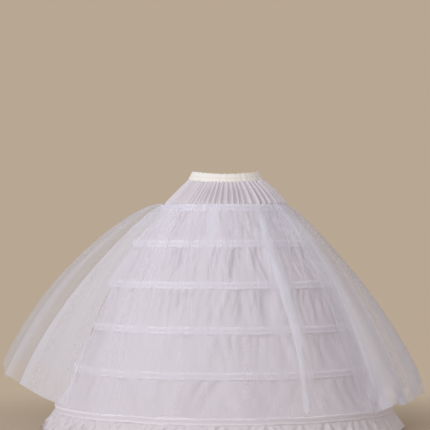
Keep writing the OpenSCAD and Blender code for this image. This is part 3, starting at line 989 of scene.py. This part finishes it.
# Lamps: name, place and width in metres, and power in watts
LAMPS = (("Key", (-3.2, -3.5, 1.9), 2.6, 76), ("Fill", (0.5, -4.8, 1.6), 3.0, 24))
# Radius of the floor, how far it lies below the hem, and from where to where it fades out, in metres
FLOOR_R, FLOOR_GAP, FADE_FROM, FADE_TO = 4.0, 0.001, 0.62, 1.8
# Light of the room from the front and left, and what the backdrop throws back from the right and behind
ROOM_LIGHT, BACKDROP_LIGHT = linear("#E2E3E3"), linear("#ACA094")
# Where the room's light comes from, and the levels along that way between which it takes over
LIGHT_FROM, LIGHT_LEAST, LIGHT_FULL = (-0.7, -0.68, 0.25), -0.65, 0.6
# At the sides the eye looks through many layers of net at once
NET_LAYERS = 32


class PETTICOAT_OT_stage(bpy.types.Operator):
    """Sets the floor, the background, the lamps and the camera."""

    bl_idname = "petticoat.stage"
    bl_label = "Stage"

    def execute(self, context):
        colours = context.scene.petticoat_colours
        self.make_floor(colours.backdrop)
        self.make_world(context.scene, colours.backdrop)
        for lamp in LAMPS:
            self.make_lamp(*lamp)
        self.make_camera(context.scene)
        context.scene.view_settings.view_transform = "Standard"
        context.scene.cycles.transparent_max_bounces = NET_LAYERS
        return {"FINISHED"}

    def make_floor(self, colour):
        """A pale floor, matt and faintly mottled in patches of half a metre, that fades out into the
        background."""
        deselect()
        bpy.ops.mesh.primitive_circle_add(vertices=128, radius=FLOOR_R, fill_type="NGON", location=(0, 0, 0))
        floor = bpy.context.object
        floor.name = "floor"
        floor.data.transform(Matrix.Translation((0, 0, HEM_Z - FLOOR_GAP)))
        material, tree = new_material("Matt painted floor")
        place = add_node(tree, "ShaderNodeTexCoord").outputs["Object"]
        mottle = add_node(tree, "ShaderNodeTexNoise", {"Vector": place, "Scale": grains(500), "Detail": 4.0})
        tone = add_node(tree, "ShaderNodeMix", {
            "Factor": mottle.outputs["Fac"], **tones(colour, 0.97, 1.03)}, data_type="RGBA")
        flat = add_node(tree, "ShaderNodeVectorMath", {0: place, 1: (1, 1, 0)}, operation="MULTIPLY")
        away = add_node(tree, "ShaderNodeVectorMath", {0: flat.outputs["Vector"]}, operation="LENGTH")
        fade = add_node(tree, "ShaderNodeMapRange", {
            "Value": away.outputs["Value"], "From Min": FADE_FROM, "From Max": FADE_TO,
            "To Min": 1.0, "To Max": 0.0}, interpolation_type="SMOOTHSTEP")
        shader = add_node(tree, "ShaderNodeBsdfPrincipled", {
            "Base Color": tone.outputs[MIXED], "Roughness": 0.9, "Alpha": fade.outputs["Result"]})
        add_node(tree, "ShaderNodeOutputMaterial", {"Surface": shader.outputs["BSDF"]})
        floor.data.materials.append(material)

    def make_world(self, scene, colour):
        """A plain backdrop to the eye, and soft light on the object: white and stronger from the front and
        left, and tinted by the backdrop from the right and behind."""
        world = scene.world or bpy.data.worlds.new("Backdrop")
        scene.world = world
        world.use_nodes = True
        tree = world.node_tree
        tree.nodes.clear()
        ray = add_node(tree, "ShaderNodeLightPath")
        straight = add_node(tree, "ShaderNodeMath", {
            0: ray.outputs["Is Camera Ray"], 1: ray.outputs["Is Glossy Ray"]}, operation="MAXIMUM")
        seen = add_node(tree, "ShaderNodeMath", {
            0: straight.outputs["Value"], 1: ray.outputs["Is Transmission Ray"]}, operation="MAXIMUM")
        way = add_node(tree, "ShaderNodeTexCoord").outputs["Generated"]
        ahead = add_node(tree, "ShaderNodeVectorMath", {0: way, 1: LIGHT_FROM}, operation="DOT_PRODUCT")
        near = add_node(tree, "ShaderNodeMapRange", {
            "Value": ahead.outputs["Value"], "From Min": LIGHT_LEAST, "From Max": LIGHT_FULL},
            interpolation_type="SMOOTHSTEP")
        tint = add_node(tree, "ShaderNodeMix", {
            "Factor": near.outputs["Result"], MIX_A: shade(BACKDROP_LIGHT), MIX_B: shade(ROOM_LIGHT)},
            data_type="RGBA")
        light = add_node(tree, "ShaderNodeBackground", {"Color": tint.outputs[MIXED], "Strength": 1.0})
        backdrop = add_node(tree, "ShaderNodeBackground", {"Color": shade(colour), "Strength": 1.0})
        mixed = add_node(tree, "ShaderNodeMixShader", {
            0: seen.outputs["Value"], 1: light.outputs["Background"], 2: backdrop.outputs["Background"]})
        add_node(tree, "ShaderNodeOutputWorld", {"Surface": mixed.outputs["Shader"]})

    def make_lamp(self, name, place, size, power):
        """A soft square lamp that points at the middle of the skirt."""
        lamp = bpy.data.objects.new(name, bpy.data.lights.new(name, "AREA"))
        lamp.data.size = size
        lamp.data.energy = power
        lamp.location = place
        aim = Vector((0, 0, HEM_Z / 2)) - Vector(place)
        lamp.rotation_euler = aim.to_track_quat("-Z", "Y").to_euler()
        bpy.context.scene.collection.objects.link(lamp)

    def make_camera(self, scene):
        """A camera at the photograph's height and distance, with the skirt a little right of the middle."""
        metres = MM_PER_PX / 1000
        camera = bpy.data.objects.new("Camera", bpy.data.cameras.new("Camera"))
        aside = (PICTURE_PX / 2 - AXIS_PX) * metres
        eye = Vector((aside, -CAMERA_AWAY, (WAIST_PX - HORIZON_PX) * metres))
        target = Vector((aside, 0, (WAIST_PX - PICTURE_PX / 2) * metres))
        camera.data.sensor_fit = "HORIZONTAL"
        camera.data.angle = 2 * math.atan(PICTURE_PX * metres / 2 / CAMERA_AWAY)
        camera.location = eye
        camera.rotation_euler = (target - eye).to_track_quat("-Z", "Y").to_euler()
        scene.collection.objects.link(camera)
        scene.camera = camera


# Panel and registration

STEPS = ("waistband", "yoke", "tiers", "ruffle", "casings", "net", "hoops", "stage")


class PETTICOAT_PT_panel(bpy.types.Panel):
    """Lists the steps that dress the petticoat, with its sizes and colours."""

    bl_idname = "PETTICOAT_PT_panel"
    bl_label = "Hooped petticoat"
    bl_space_type = "VIEW_3D"
    bl_region_type = "UI"
    bl_category = "Petticoat"

    def draw(self, context):
        for group in (context.scene.petticoat_sizes, context.scene.petticoat_colours):
            for name in group.__annotations__:
                self.layout.prop(group, name)
        for step in STEPS:
            self.layout.operator(f"petticoat.{step}")


CLASSES = (
    PetticoatSizes, PetticoatColours, PETTICOAT_OT_waistband, PETTICOAT_OT_yoke, PETTICOAT_OT_tiers,
    PETTICOAT_OT_ruffle, PETTICOAT_OT_casings, PETTICOAT_OT_net, PETTICOAT_OT_hoops, PETTICOAT_OT_stage,
    PETTICOAT_PT_panel,
)


def register():
    for cls in CLASSES:
        bpy.utils.register_class(cls)
    bpy.types.Scene.petticoat_sizes = bpy.props.PointerProperty(type=PetticoatSizes)
    bpy.types.Scene.petticoat_colours = bpy.props.PointerProperty(type=PetticoatColours)


def unregister():
    del bpy.types.Scene.petticoat_colours
    del bpy.types.Scene.petticoat_sizes
    for cls in reversed(CLASSES):
        bpy.utils.unregister_class(cls)


def main():
    register()
    for step in STEPS:
        getattr(bpy.ops.petticoat, step)()


if __name__ == "__main__":
    main()
